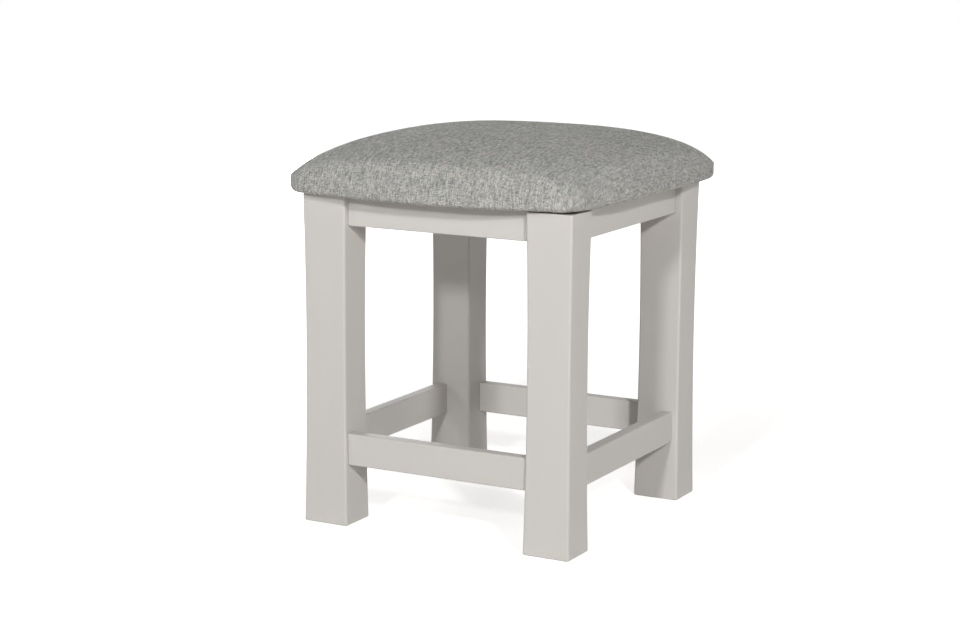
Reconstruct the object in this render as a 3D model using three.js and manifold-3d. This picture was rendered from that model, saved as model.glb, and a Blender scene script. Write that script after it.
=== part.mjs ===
// A painted wooden vanity stool with an upholstered pad. Millimetres, +Z up.
// The origin is on the floor in the middle of the four feet. The front is at -Y, the right at +X.
import * as THREE from "three";
import { mergeVertices } from "three/addons/utils/BufferGeometryUtils.js";
import Module from "manifold-3d";

const wasm = await Module();
wasm.setup();

// Legs: a heavy rectangular section, every face hollowed by a shallow arc
const frameWidth = 349; // over the feet, left to right
const frameDepth = 349; // over the feet, front to back
const legHeight = 390;
const legWidth = 58.5; // left to right
const legDepth = 52; // front to back
const legHollow = 2.3; // deepest point of the arc on each face
const legWaistShare = 0.53; // height of that deepest point, as a share of the leg
const legArris = 3; // rounding along the four long corners
const footArris = 2.2; // rounding round the foot
const legTopArris = 0.8; // chamfer round the top

// Rails, dowelled between the leg tops
const railHeight = 34.5;
const railThickness = 22;
const railArris = 1.5;
const frontRailSetback = 9; // from the foot's face back to the face of a front or back rail
const sideRailSetback = 10.5; // the same for a side rail
const dowelDiameter = 8;
const dowelLength = 30;
const dowelChamfer = 0.8;
const dowelSpacing = 18; // between the two dowels of a joint, up the rail

// Stretchers, tenoned between the legs near the floor
const stretcherFromFloor = 73;
const stretcherHeight = 38;
const stretcherThickness = 15.5;
const stretcherArris = 1.5;
const frontStretcherSetback = 7;
const sideStretcherSetback = 9;
const tenonLength = 14; // into the leg, from its face at the foot
const tenonHeight = 26;
const tenonThickness = 8;

// Corner blocks behind the rails
const blockThickness = 26; // across the corner
const blockHeight = 26;
const blockDrop = 4; // below the top of the rails
const blockScrewDiameter = 4;
const blockScrewLength = 28;
const blockScrewHead = 8;
const blockScrewHeadHeight = 2.6;
const blockScrewOut = 62; // from one rail's inner face along the other rail
const blockScrewRecess = 1.2; // wood between the rim of the screw's recess and the block's face

// Screws that hold the seat down
const seatScrewDiameter = 4.6;
const seatScrewLength = 42;
const seatScrewHead = 9.4;
const seatScrewHeadHeight = 3;
const screwPoint = 5; // length of the tapered point on either screw

// Upholstered pad
const padOverhang = 23; // past the feet, at the pad's widest line
const padTuck = 25.5; // from the widest line back in to the flat underside
const padRoll = 8.6; // height of the widest line over the flat underside
const padCrown = 59.5; // rise of the crown over the widest line
const coverThickness = 1.5;
const coverFold = 44; // width of cover turned under the board
const coverOpeningRadius = 25;
const boardThickness = 12;
const boardInset = 8.5; // from the foot's outer face in to the edge of the board
const boardCornerRadius = 35;
const dustClothThickness = 0.8;
const dustClothInset = 24.5; // from the foot's outer face in to the edge of the cloth
const dustClothCornerRadius = 12;

// Fits
const fitGap = 0.3; // between pieces that meet
const holeClearance = 0.25; // round a dowel or a screw
const cutOverrun = 2; // how far a cutter runs past what it cuts

// Shape numbers without a unit
const padSquareness = 9.4; // exponent of the pad's outline, 2 is a circle
const crownFlatness = 4.1; // how long the crown stays flat before it falls
const crownFullness = 1.84; // how steeply it meets the widest line
const crownRingShares = [0.995, 0.98, 0.95, 0.9, 0.82, 0.7, 0.52, 0.3];
const rollSteps = 4;
const outlineSteps = 6; // in an eighth of the pad's outline
const outlineBias = 1.6; // crowds the outline's points towards its corners
const arrisSteps = 3;
const legRings = 12;
const roundSegments = 16;
const screwSegments = 12;

// Values that follow from the ones above
const legCentreX = (frameWidth - legWidth) / 2;
const legCentreY = (frameDepth - legDepth) / 2;
const legInnerX = frameWidth / 2 - legWidth; // inner face of a leg at the foot
const legInnerY = frameDepth / 2 - legDepth;
const railMiddle = legHeight - railHeight / 2;
const frontRailY = frameDepth / 2 - frontRailSetback - railThickness / 2;
const sideRailX = frameWidth / 2 - sideRailSetback - railThickness / 2;
const stretcherMiddle = stretcherFromFloor + stretcherHeight / 2;
const frontStretcherY = frameDepth / 2 - frontStretcherSetback - stretcherThickness / 2;
const sideStretcherX = frameWidth / 2 - sideStretcherSetback - stretcherThickness / 2;

// The corner where the inner faces of two rails would meet, less the gap to the block
const blockCornerX = sideRailX - railThickness / 2 - fitGap;
const blockCornerY = frontRailY - railThickness / 2 - fitGap;
const blockNear = blockCornerX - legInnerX + blockCornerY - legInnerY + fitGap * Math.SQRT2;
const blockFar = blockNear + blockThickness * Math.SQRT2;
const blockTop = legHeight - blockDrop;
const blockMiddle = blockTop - blockHeight / 2;
const blockScrewRadius = blockScrewHead / 2 + holeClearance;
const blockScrewSeat = blockFar - blockScrewOut - blockScrewRadius - blockScrewRecess;
const blockScrewEnd = blockScrewLength - blockScrewSeat - fitGap; // depth reached in the rail
const seatScrewIn = (blockNear + blockFar) / 4;
const seatScrewX = blockCornerX - seatScrewIn;
const seatScrewY = blockCornerY - seatScrewIn;
const seatScrewFoot = blockTop - blockHeight;
const seatScrewTip = seatScrewFoot + seatScrewLength;

// Heights in the pad, from the leg tops up
const dustClothBottom = legHeight + fitGap;
const coverBottom = dustClothBottom + dustClothThickness + fitGap;
const boardBottom = coverBottom + coverThickness + fitGap;
const boardTop = boardBottom + boardThickness;
const padWidest = coverBottom + padRoll;
const padHalfX = frameWidth / 2 + padOverhang;
const padHalfY = frameDepth / 2 + padOverhang;
const padOpeningX = padHalfX - padTuck - coverFold;
const padOpeningY = padHalfY - padTuck - coverFold;

const paint = { color: 0xcac6bf, roughness: 0.48, metalness: 0 };
const fabric = { color: 0x9a9b98, roughness: 0.95, metalness: 0 };
const foam = { color: 0xe6dcc0, roughness: 0.9, metalness: 0 };
const plywood = { color: 0xc8a878, roughness: 0.7, metalness: 0 };
const blockWood = { color: 0xcdb28a, roughness: 0.7, metalness: 0 };
const dowelWood = { color: 0xd2b48c, roughness: 0.65, metalness: 0 };
const blackCloth = { color: 0x1b1b1d, roughness: 0.95, metalness: 0 };
const zincSteel = { color: 0xb9b6a8, roughness: 0.35, metalness: 1 };

const corners = [
  ["front_left", -1, -1],
  ["front_right", 1, -1],
  ["back_left", -1, 1],
  ["back_right", 1, 1],
];

function namedMesh(name, geometry, finish) {
  const mesh = new THREE.Mesh(geometry, new THREE.MeshStandardMaterial(finish));
  mesh.name = name;
  return mesh;
}

// Solids for cutting and joining

function solidOf(geometry) {
  const bare = geometry.index ? geometry.toNonIndexed() : geometry.clone();
  bare.deleteAttribute("normal");
  bare.deleteAttribute("uv");
  const merged = mergeVertices(bare);
  const vertProperties = new Float32Array(merged.attributes.position.array);
  const triVerts = new Uint32Array(merged.index.array);
  return new wasm.Manifold(new wasm.Mesh({ numProp: 3, vertProperties, triVerts }));
}

function geometryOf(solid) {
  const { vertProperties, triVerts } = solid.getMesh();
  const geometry = new THREE.BufferGeometry();
  geometry.setAttribute("position", new THREE.BufferAttribute(vertProperties, 3));
  geometry.setIndex(new THREE.BufferAttribute(triVerts, 1));
  const faceted = geometry.toNonIndexed();
  faceted.computeVertexNormals();
  return faceted;
}

function boxBetween(low, high) {
  const size = new THREE.Vector3().subVectors(high, low);
  const middle = new THREE.Vector3().addVectors(low, high).multiplyScalar(0.5);
  return new THREE.BoxGeometry(size.x, size.y, size.z).translate(middle.x, middle.y, middle.z);
}

// A cylinder from one point to another along X, Y or Z
function rodBetween(radius, from, to) {
  const along = new THREE.Vector3().subVectors(to, from);
  const turn = new THREE.Quaternion().setFromUnitVectors(
    new THREE.Vector3(0, 1, 0),
    along.clone().normalize(),
  );
  const middle = new THREE.Vector3().addVectors(from, to).multiplyScalar(0.5);
  return new THREE.CylinderGeometry(radius, radius, along.length(), roundSegments)
    .applyQuaternion(turn)
    .translate(middle.x, middle.y, middle.z);
}

// A closed body through rings of points, each counterclockwise from above, capped at both ends
function loft(rings, bottomCentre, topCentre) {
  const count = rings[0].length;
  const points = [...rings.flat(), bottomCentre, topCentre];
  const bottom = points.length - 2;
  const top = points.length - 1;
  const index = [];
  for (let side = 0; side < count; side += 1) {
    const next = (side + 1) % count;
    index.push(bottom, next, side);
    for (let level = 0; level < rings.length - 1; level += 1) {
      const low = level * count;
      const high = low + count;
      index.push(low + side, low + next, high + next);
      index.push(low + side, high + next, high + side);
    }
    const last = (rings.length - 1) * count;
    index.push(top, last + side, last + next);
  }
  const geometry = new THREE.BufferGeometry().setFromPoints(points);
  geometry.setIndex(index);
  const faceted = geometry.toNonIndexed();
  faceted.computeVertexNormals();
  return faceted;
}

function roundedRing(halfX, halfY, radius, z) {
  const ring = [];
  const quarters = [
    [1, 1],
    [-1, 1],
    [-1, -1],
    [1, -1],
  ];
  quarters.forEach(([signX, signY], quarter) => {
    for (let step = 0; step <= arrisSteps; step += 1) {
      const angle = ((quarter + step / arrisSteps) * Math.PI) / 2;
      const x = signX * (halfX - radius) + radius * Math.cos(angle);
      const y = signY * (halfY - radius) + radius * Math.sin(angle);
      ring.push(new THREE.Vector3(x, y, z));
    }
  });
  return ring;
}

function roundedOutline(halfX, halfY, radius) {
  return new THREE.Shape(roundedRing(halfX, halfY, radius, 0).map(({ x, y }) => new THREE.Vector2(x, y)));
}

function roundedSlab(halfX, halfY, radius, thickness) {
  return new THREE.ExtrudeGeometry(roundedOutline(halfX, halfY, radius), {
    depth: thickness,
    bevelEnabled: false,
  });
}

// Legs

function legDrawIn(z) {
  const waist = legHeight * legWaistShare;
  return legHollow * (1 - ((z - waist) / waist) ** 2);
}

function legRing(z, inset) {
  const drawIn = legDrawIn(z) + inset;
  return roundedRing(legWidth / 2 - drawIn, legDepth / 2 - drawIn, legArris - inset, z);
}

function legBody() {
  const rings = [];
  for (let step = 0; step < arrisSteps; step += 1) {
    const angle = ((step / arrisSteps) * Math.PI) / 2;
    rings.push(legRing(footArris * (1 - Math.cos(angle)), footArris * (1 - Math.sin(angle))));
  }
  const straight = legHeight - legTopArris - footArris;
  for (let step = 0; step <= legRings; step += 1) {
    rings.push(legRing(footArris + (straight * step) / legRings, 0));
  }
  rings.push(legRing(legHeight, legTopArris));
  return loft(rings, new THREE.Vector3(), new THREE.Vector3(0, 0, legHeight));
}

// The space that a leg needs between the rails, grown by the gap
function legCutter() {
  const rings = [];
  const top = legHeight + cutOverrun;
  for (let step = 0; step <= legRings; step += 1) {
    rings.push(legRing((top * step) / legRings, -fitGap));
  }
  return loft(rings, new THREE.Vector3(), new THREE.Vector3(0, 0, top));
}

// Mortises and dowel holes are in the leg's own frame: inwards is against its corner's signs
function legSolid(signX, signY) {
  let solid = solidOf(legBody());
  const railLineX = signX * (sideRailX - legCentreX);
  const railLineY = signY * (frontRailY - legCentreY);
  const outX = -signX * (legWidth / 2 + cutOverrun);
  const outY = -signY * (legDepth / 2 + cutOverrun);
  const dowelEnd = dowelLength / 2 + fitGap;
  const dowelX = -signX * (legWidth / 2 - dowelEnd);
  const dowelY = -signY * (legDepth / 2 - dowelEnd);
  const dowelHole = dowelDiameter / 2 + holeClearance;
  for (const z of dowelHeights()) {
    const alongX = rodBetween(
      dowelHole,
      new THREE.Vector3(outX, railLineY, z),
      new THREE.Vector3(dowelX, railLineY, z),
    );
    const alongY = rodBetween(
      dowelHole,
      new THREE.Vector3(railLineX, outY, z),
      new THREE.Vector3(railLineX, dowelY, z),
    );
    solid = solid.subtract(solidOf(alongX)).subtract(solidOf(alongY));
  }
  const stretcherLineX = signX * (sideStretcherX - legCentreX);
  const stretcherLineY = signY * (frontStretcherY - legCentreY);
  const mortiseX = -signX * (legWidth / 2 - tenonLength - fitGap);
  const mortiseY = -signY * (legDepth / 2 - tenonLength - fitGap);
  const halfThick = tenonThickness / 2 + fitGap;
  const halfHigh = tenonHeight / 2 + fitGap;
  const mortiseAlongX = boxBetween(
    new THREE.Vector3(Math.min(outX, mortiseX), stretcherLineY - halfThick, stretcherMiddle - halfHigh),
    new THREE.Vector3(Math.max(outX, mortiseX), stretcherLineY + halfThick, stretcherMiddle + halfHigh),
  );
  const mortiseAlongY = boxBetween(
    new THREE.Vector3(stretcherLineX - halfThick, Math.min(outY, mortiseY), stretcherMiddle - halfHigh),
    new THREE.Vector3(stretcherLineX + halfThick, Math.max(outY, mortiseY), stretcherMiddle + halfHigh),
  );
  return solid.subtract(solidOf(mortiseAlongX)).subtract(solidOf(mortiseAlongY));
}

function makeLegs() {
  const group = new THREE.Group();
  for (const [corner, signX, signY] of corners) {
    const leg = namedMesh(`leg_${corner}`, geometryOf(legSolid(signX, signY)), paint);
    leg.position.set(signX * legCentreX, signY * legCentreY, 0);
    group.add(leg);
  }
  return group;
}

// Rails and stretchers are made along X about their own middle, so a side one is turned a quarter
// round Z. Its ends follow the hollow faces of the two legs that it stands between.

function barBody(height, thickness, arris, reach, middle, line, turned) {
  const outline = roundedOutline(thickness / 2, height / 2, arris);
  const bar = new THREE.ExtrudeGeometry(outline, { depth: reach * 2, bevelEnabled: false });
  bar.translate(0, 0, -reach);
  bar.rotateX(Math.PI / 2);
  bar.rotateZ(Math.PI / 2);
  let solid = solidOf(bar);
  for (const end of [-1, 1]) {
    const cutter = legCutter();
    if (turned) cutter.rotateZ(-Math.PI / 2);
    solid = solid.subtract(solidOf(cutter.translate(end * reach, line, -middle)));
  }
  return solid;
}

function dowelHeights() {
  return [railMiddle - dowelSpacing / 2, railMiddle + dowelSpacing / 2];
}

// The offset is the leg's middle line from the rail's own, the inside is the block side of the rail
function railSolid(reach, legInner, offset, turned, inside, screwPlaces) {
  let solid = barBody(railHeight, railThickness, railArris, reach, railMiddle, offset, turned);
  const holeStart = legInner - dowelLength / 2 - fitGap;
  const holeEnd = reach + cutOverrun;
  for (const end of [-1, 1]) {
    for (const z of dowelHeights()) {
      const hole = rodBetween(
        dowelDiameter / 2 + holeClearance,
        new THREE.Vector3(end * holeStart, 0, z - railMiddle),
        new THREE.Vector3(end * holeEnd, 0, z - railMiddle),
      );
      solid = solid.subtract(solidOf(hole));
    }
  }
  for (const x of [-screwPlaces, screwPlaces]) {
    const pilot = rodBetween(
      blockScrewDiameter / 2 + holeClearance,
      new THREE.Vector3(x, inside * (railThickness / 2 + cutOverrun), blockMiddle - railMiddle),
      new THREE.Vector3(x, inside * (railThickness / 2 - blockScrewEnd - fitGap), blockMiddle - railMiddle),
    );
    solid = solid.subtract(solidOf(pilot));
  }
  return solid;
}

function makeRails() {
  const group = new THREE.Group();
  for (const [name, side] of [
    ["front", -1],
    ["back", 1],
  ]) {
    const solid = railSolid(
      legCentreX,
      legInnerX,
      side * (legCentreY - frontRailY),
      false,
      -side,
      blockCornerX - blockScrewOut,
    );
    const rail = namedMesh(`rail_${name}`, geometryOf(solid), paint);
    rail.position.set(0, side * frontRailY, railMiddle);
    group.add(rail);
  }
  for (const [name, side] of [
    ["left", -1],
    ["right", 1],
  ]) {
    const solid = railSolid(
      legCentreY,
      legInnerY,
      -side * (legCentreX - sideRailX),
      true,
      side,
      blockCornerY - blockScrewOut,
    );
    const rail = namedMesh(`rail_${name}`, geometryOf(solid), paint);
    rail.rotation.z = Math.PI / 2;
    rail.position.set(side * sideRailX, 0, railMiddle);
    group.add(rail);
  }
  return group;
}

function stretcherSolid(reach, legInner, offset, turned) {
  const bar = barBody(
    stretcherHeight,
    stretcherThickness,
    stretcherArris,
    reach,
    stretcherMiddle,
    offset,
    turned,
  );
  const tenonEnd = legInner + tenonLength;
  const tenons = boxBetween(
    new THREE.Vector3(-tenonEnd, -tenonThickness / 2, -tenonHeight / 2),
    new THREE.Vector3(tenonEnd, tenonThickness / 2, tenonHeight / 2),
  );
  return bar.add(solidOf(tenons));
}

function makeStretchers() {
  const group = new THREE.Group();
  for (const [name, side] of [
    ["front", -1],
    ["back", 1],
  ]) {
    const offset = side * (legCentreY - frontStretcherY);
    const solid = stretcherSolid(legCentreX, legInnerX, offset, false);
    const stretcher = namedMesh(`stretcher_${name}`, geometryOf(solid), paint);
    stretcher.position.set(0, side * frontStretcherY, stretcherMiddle);
    group.add(stretcher);
  }
  for (const [name, side] of [
    ["left", -1],
    ["right", 1],
  ]) {
    const offset = -side * (legCentreX - sideStretcherX);
    const solid = stretcherSolid(legCentreY, legInnerY, offset, true);
    const stretcher = namedMesh(`stretcher_${name}`, geometryOf(solid), paint);
    stretcher.rotation.z = Math.PI / 2;
    stretcher.position.set(side * sideStretcherX, 0, stretcherMiddle);
    group.add(stretcher);
  }
  return group;
}

// Dowels

function dowelGeometry() {
  const radius = dowelDiameter / 2;
  const half = dowelLength / 2;
  const profile = [
    [0, -half],
    [radius - dowelChamfer, -half],
    [radius, -half + dowelChamfer],
    [radius, half - dowelChamfer],
    [radius - dowelChamfer, half],
    [0, half],
  ].map(([x, y]) => new THREE.Vector2(x, y));
  return new THREE.LatheGeometry(profile, roundSegments);
}

function makeDowels() {
  const group = new THREE.Group();
  for (const [corner, signX, signY] of corners) {
    dowelHeights().forEach((z, place) => {
      const level = place ? "upper" : "lower";
      const across = namedMesh(`dowel_${corner}_across_${level}`, dowelGeometry(), dowelWood);
      across.rotation.z = -Math.PI / 2;
      across.position.set(signX * legInnerX, signY * frontRailY, z);
      const along = namedMesh(`dowel_${corner}_along_${level}`, dowelGeometry(), dowelWood);
      along.position.set(signX * sideRailX, signY * legInnerY, z);
      group.add(across, along);
    });
  }
  return group;
}

// Screws: the underside of the head is at zero and the point is at +Y of the screw's own frame

function screwGeometry(diameter, length, head, headHeight) {
  const profile = [
    [0, -headHeight],
    [head / 4, -headHeight],
    [(head * 2) / 5, -headHeight * 0.8],
    [head / 2, -headHeight / 3],
    [head / 2, 0],
    [diameter / 2, 0],
    [diameter / 2, length - screwPoint],
    [0, length],
  ].map(([x, y]) => new THREE.Vector2(x, y));
  return new THREE.LatheGeometry(profile, screwSegments);
}

// A corner block runs across the corner at 45 degrees, between the inner faces of two rails
function blockSolid(signX, signY) {
  const outline = new THREE.Shape(
    [
      [blockNear, 0],
      [blockFar, 0],
      [0, blockFar],
      [0, blockNear],
    ].map(([inX, inY]) => new THREE.Vector2(-signX * inX, -signY * inY)),
  );
  const body = new THREE.ExtrudeGeometry(outline, { depth: blockHeight, bevelEnabled: false });
  let solid = solidOf(body.translate(0, 0, -blockHeight / 2));
  const seatHole = rodBetween(
    seatScrewDiameter / 2 + holeClearance,
    new THREE.Vector3(-signX * seatScrewIn, -signY * seatScrewIn, -blockHeight / 2 - cutOverrun),
    new THREE.Vector3(-signX * seatScrewIn, -signY * seatScrewIn, blockHeight / 2 + cutOverrun),
  );
  solid = solid.subtract(solidOf(seatHole));
  const shank = blockScrewDiameter / 2 + holeClearance;
  const wayOut = blockFar - blockScrewOut + blockScrewRadius + cutOverrun;
  for (const [turnX, turnY] of [
    [1, 0],
    [0, 1],
  ]) {
    const place = (inwards) =>
      new THREE.Vector3(
        -signX * (turnX * inwards + turnY * blockScrewOut),
        -signY * (turnY * inwards + turnX * blockScrewOut),
        0,
      );
    const hole = solidOf(rodBetween(shank, place(-cutOverrun), place(blockScrewSeat + cutOverrun)));
    const recess = solidOf(rodBetween(blockScrewRadius, place(blockScrewSeat), place(wayOut)));
    solid = solid.subtract(hole).subtract(recess);
  }
  return solid;
}

function makeBlocks() {
  const group = new THREE.Group();
  for (const [corner, signX, signY] of corners) {
    const block = namedMesh(`corner_block_${corner}`, geometryOf(blockSolid(signX, signY)), blockWood);
    block.position.set(signX * blockCornerX, signY * blockCornerY, blockMiddle);
    const shape = () =>
      screwGeometry(blockScrewDiameter, blockScrewLength, blockScrewHead, blockScrewHeadHeight);
    const toSide = namedMesh(`block_screw_${corner}_side`, shape(), zincSteel);
    toSide.rotation.z = (-signX * Math.PI) / 2;
    toSide.position.set(
      signX * (blockCornerX - blockScrewSeat),
      signY * (blockCornerY - blockScrewOut),
      blockMiddle,
    );
    const toFront = namedMesh(`block_screw_${corner}_end`, shape(), zincSteel);
    toFront.rotation.z = signY > 0 ? 0 : Math.PI;
    toFront.position.set(
      signX * (blockCornerX - blockScrewOut),
      signY * (blockCornerY - blockScrewSeat),
      blockMiddle,
    );
    const seatScrew = namedMesh(
      `seat_screw_${corner}`,
      screwGeometry(seatScrewDiameter, seatScrewLength, seatScrewHead, seatScrewHeadHeight),
      zincSteel,
    );
    seatScrew.rotation.x = Math.PI / 2;
    seatScrew.position.set(signX * seatScrewX, signY * seatScrewY, seatScrewFoot);
    group.add(block, toSide, toFront, seatScrew);
  }
  return group;
}

// Pad. One outline and one crown serve the cover, its inside and the foam, so they nest.

// Angles round the outline, counterclockwise, closer together at the corners
function outlineAngles() {
  const eighth = Math.PI / 4;
  const angles = [];
  for (let quarter = 0; quarter < 4; quarter += 1) {
    const start = quarter * 2 * eighth;
    for (let step = 0; step < outlineSteps; step += 1) {
      angles.push(start + eighth * (1 - (1 - step / outlineSteps) ** outlineBias));
    }
    for (let step = 0; step < outlineSteps; step += 1) {
      angles.push(start + eighth * (1 + (step / outlineSteps) ** outlineBias));
    }
  }
  return angles;
}

// A point of the square-cornered outline on a circle of one, at an angle
function outlinePoint(angle) {
  const x = Math.cos(angle);
  const y = Math.sin(angle);
  const length = (Math.abs(x) ** padSquareness + Math.abs(y) ** padSquareness) ** (-1 / padSquareness);
  return [x * length, y * length];
}

function crownRise(shareX, shareY) {
  const fall = (1 - Math.abs(shareX) ** crownFlatness) * (1 - Math.abs(shareY) ** crownFlatness);
  return Math.max(fall, 0) ** (1 / crownFullness);
}

// The domed body, smaller than the cover's outside by the inset on every side
function padBody(inset) {
  const halfX = padHalfX - inset;
  const halfY = padHalfY - inset;
  const crown = padCrown - inset;
  const roll = padRoll - inset;
  const tuckShareX = padTuck / padHalfX;
  const tuckShareY = padTuck / padHalfY;
  const points = outlineAngles().map(outlinePoint);
  const rings = [];
  for (let step = 0; step <= rollSteps; step += 1) {
    const angle = ((1 - step / rollSteps) * Math.PI) / 2;
    const back = 1 - Math.cos(angle);
    const z = padWidest - roll * Math.sin(angle);
    rings.push(
      points.map(
        ([x, y]) =>
          new THREE.Vector3(x * halfX * (1 - tuckShareX * back), y * halfY * (1 - tuckShareY * back), z),
      ),
    );
  }
  for (const share of crownRingShares) {
    rings.push(
      points.map(([x, y]) => {
        const z = padWidest + crown * crownRise(x * share, y * share);
        return new THREE.Vector3(x * share * halfX, y * share * halfY, z);
      }),
    );
  }
  const bottom = new THREE.Vector3(0, 0, padWidest - roll);
  const top = new THREE.Vector3(0, 0, padWidest + crown);
  return loft(rings, bottom, top);
}

function boardSlab(grow, bottom, top) {
  const halfX = frameWidth / 2 - boardInset + grow;
  const halfY = frameDepth / 2 - boardInset + grow;
  return roundedSlab(halfX, halfY, boardCornerRadius + grow, top - bottom).translate(0, 0, bottom);
}

function seatScrewHoles(solid, bottom, top) {
  let drilled = solid;
  for (const [, signX, signY] of corners) {
    const hole = rodBetween(
      seatScrewDiameter / 2 + holeClearance,
      new THREE.Vector3(signX * seatScrewX, signY * seatScrewY, bottom),
      new THREE.Vector3(signX * seatScrewX, signY * seatScrewY, top),
    );
    drilled = drilled.subtract(solidOf(hole));
  }
  return drilled;
}

function makeSeat() {
  const group = new THREE.Group();

  const board = seatScrewHoles(
    solidOf(boardSlab(0, boardBottom, boardTop)),
    boardBottom - cutOverrun,
    seatScrewTip + fitGap,
  );
  group.add(namedMesh("seat_board", geometryOf(board), plywood));

  const boardSpace = solidOf(boardSlab(fitGap, boardBottom - cutOverrun, boardTop + fitGap));
  const foamBody = solidOf(padBody(coverThickness + fitGap)).subtract(boardSpace);
  group.add(namedMesh("seat_foam", geometryOf(foamBody), foam));

  const opening = roundedSlab(padOpeningX, padOpeningY, coverOpeningRadius, padRoll + cutOverrun);
  opening.translate(0, 0, coverBottom - cutOverrun);
  const cover = solidOf(padBody(0)).subtract(solidOf(padBody(coverThickness))).subtract(solidOf(opening));
  group.add(namedMesh("seat_cover", geometryOf(cover), fabric));

  const clothX = frameWidth / 2 - dustClothInset;
  const clothY = frameDepth / 2 - dustClothInset;
  const cloth = roundedSlab(clothX, clothY, dustClothCornerRadius, dustClothThickness);
  cloth.translate(0, 0, dustClothBottom);
  const drilledCloth = seatScrewHoles(
    solidOf(cloth),
    dustClothBottom - cutOverrun,
    dustClothBottom + dustClothThickness + cutOverrun,
  );
  group.add(namedMesh("seat_dust_cloth", geometryOf(drilledCloth), blackCloth));

  return group;
}

const stool = new THREE.Group();
stool.add(makeLegs(), makeRails(), makeStretchers(), makeDowels(), makeBlocks(), makeSeat());

export default stool;
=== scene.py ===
import math

import bmesh
import bpy
import numpy as np
from mathutils import Matrix, Vector


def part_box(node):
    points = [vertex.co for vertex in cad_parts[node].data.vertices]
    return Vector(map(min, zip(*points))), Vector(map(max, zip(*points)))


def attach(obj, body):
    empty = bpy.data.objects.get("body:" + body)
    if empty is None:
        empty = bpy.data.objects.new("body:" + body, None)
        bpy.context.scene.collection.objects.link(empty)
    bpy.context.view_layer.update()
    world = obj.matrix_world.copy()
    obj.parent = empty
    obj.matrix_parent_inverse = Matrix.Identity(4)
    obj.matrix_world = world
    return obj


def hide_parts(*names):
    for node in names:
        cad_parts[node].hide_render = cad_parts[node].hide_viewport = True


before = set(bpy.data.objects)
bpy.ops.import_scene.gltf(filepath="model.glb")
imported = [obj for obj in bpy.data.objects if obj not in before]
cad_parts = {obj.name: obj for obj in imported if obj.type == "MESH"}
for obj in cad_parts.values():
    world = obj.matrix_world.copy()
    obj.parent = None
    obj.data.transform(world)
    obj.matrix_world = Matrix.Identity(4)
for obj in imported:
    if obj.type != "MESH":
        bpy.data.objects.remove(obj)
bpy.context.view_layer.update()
print("frame loaded:", len(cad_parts), "nodes")

corners = {
    "front_left": (-1, -1),
    "front_right": (1, -1),
    "back_left": (-1, 1),
    "back_right": (1, 1),
}
millimetre = 0.001
scene = bpy.context.scene


# Node tools

# A plain value is set, and another node's output is linked
def setInputs(tree, node, values):
    for label, value in values.items():
        if hasattr(value, "is_linked"):
            tree.links.new(value, node.inputs[label])
        else:
            node.inputs[label].default_value = value


# The outputs of a new node
def addNode(tree, kind, values, **settings):
    node = tree.nodes.new("ShaderNode" + kind)
    for label, value in settings.items():
        setattr(node, label, value)
    setInputs(tree, node, values)
    return node.outputs


def mathNode(tree, operation, *values):
    return addNode(tree, "Math", dict(enumerate(values)), operation=operation)[0]


def noiseNode(tree, vector, scale, detail=2.0, roughness=0.5):
    values = {"Vector": vector, "Scale": scale, "Detail": detail, "Roughness": roughness}
    return addNode(tree, "TexNoise", values)["Fac"]


def mixColour(tree, factor, first, second, blend="MIX"):
    node = tree.nodes.new("ShaderNodeMix")
    node.data_type = "RGBA"
    node.blend_type = blend
    # sockets of the same names for other kinds of data are there too, but not enabled
    place = {socket.name: number for number, socket in enumerate(node.inputs) if socket.enabled}
    setInputs(tree, node, {place["Factor"]: factor, place["A"]: first, place["B"]: second})
    return [socket for socket in node.outputs if socket.enabled][0]


def rangeNode(tree, value, fromLow, fromHigh, toLow, toHigh, curve="LINEAR"):
    limits = {"From Min": fromLow, "From Max": fromHigh, "To Min": toLow, "To Max": toHigh}
    return addNode(tree, "MapRange", {"Value": value, **limits}, interpolation_type=curve)["Result"]


def newMaterial(name):
    material = bpy.data.materials.new(name)
    material.use_nodes = True
    tree = material.node_tree
    return material, tree, tree.nodes["Principled BSDF"]


# Camera, lights and floor

cameraView = {
    "place": (1.2517, -2.3548, 0.7400),
    "turn": 28.64,  # degrees to the left of straight on
    "downTilt": 10.84,
    "roll": 0.30,
    "lens": 85.1,
    "sensorWidth": 36,
    "furthest": 30,
}


def makeCamera():
    data = bpy.data.cameras.new("camera")
    data.lens = cameraView["lens"]
    data.sensor_width = cameraView["sensorWidth"]
    data.clip_end = cameraView["furthest"]
    camera = bpy.data.objects.new("camera", data)
    scene.collection.objects.link(camera)
    turn = Matrix.Rotation(math.radians(cameraView["turn"]), 4, "Z")
    tilt = Matrix.Rotation(math.radians(90 - cameraView["downTilt"]), 4, "X")
    roll = Matrix.Rotation(math.radians(cameraView["roll"]), 4, "Z")
    camera.matrix_world = Matrix.Translation(cameraView["place"]) @ turn @ tilt @ roll
    scene.camera = camera


studio = {
    "target": (0.0, 0.0, 0.22),
    "lampDistance": 3.6,
    "worldStrength": 0.03,
    "worldColour": (1.0, 0.93, 0.84, 1.0),
    "lamps": [
        # name, turn from the front towards the right, height angle, width, power
        ("keyLamp", 8.0, 23.5, 0.25, 38.0),
        ("sideLamp", 45.0, 25.5, 0.25, 57.0),
        ("leftLamp", -50.0, 23.0, 1.0, 17.8),
        ("rightLamp", 90.0, 5.0, 1.0, 8.2),
        ("backLamp", 125.0, 5.0, 1.0, 8.1),
        ("farLamp", -140.0, 5.0, 1.0, 32.0),
    ],
}


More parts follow.
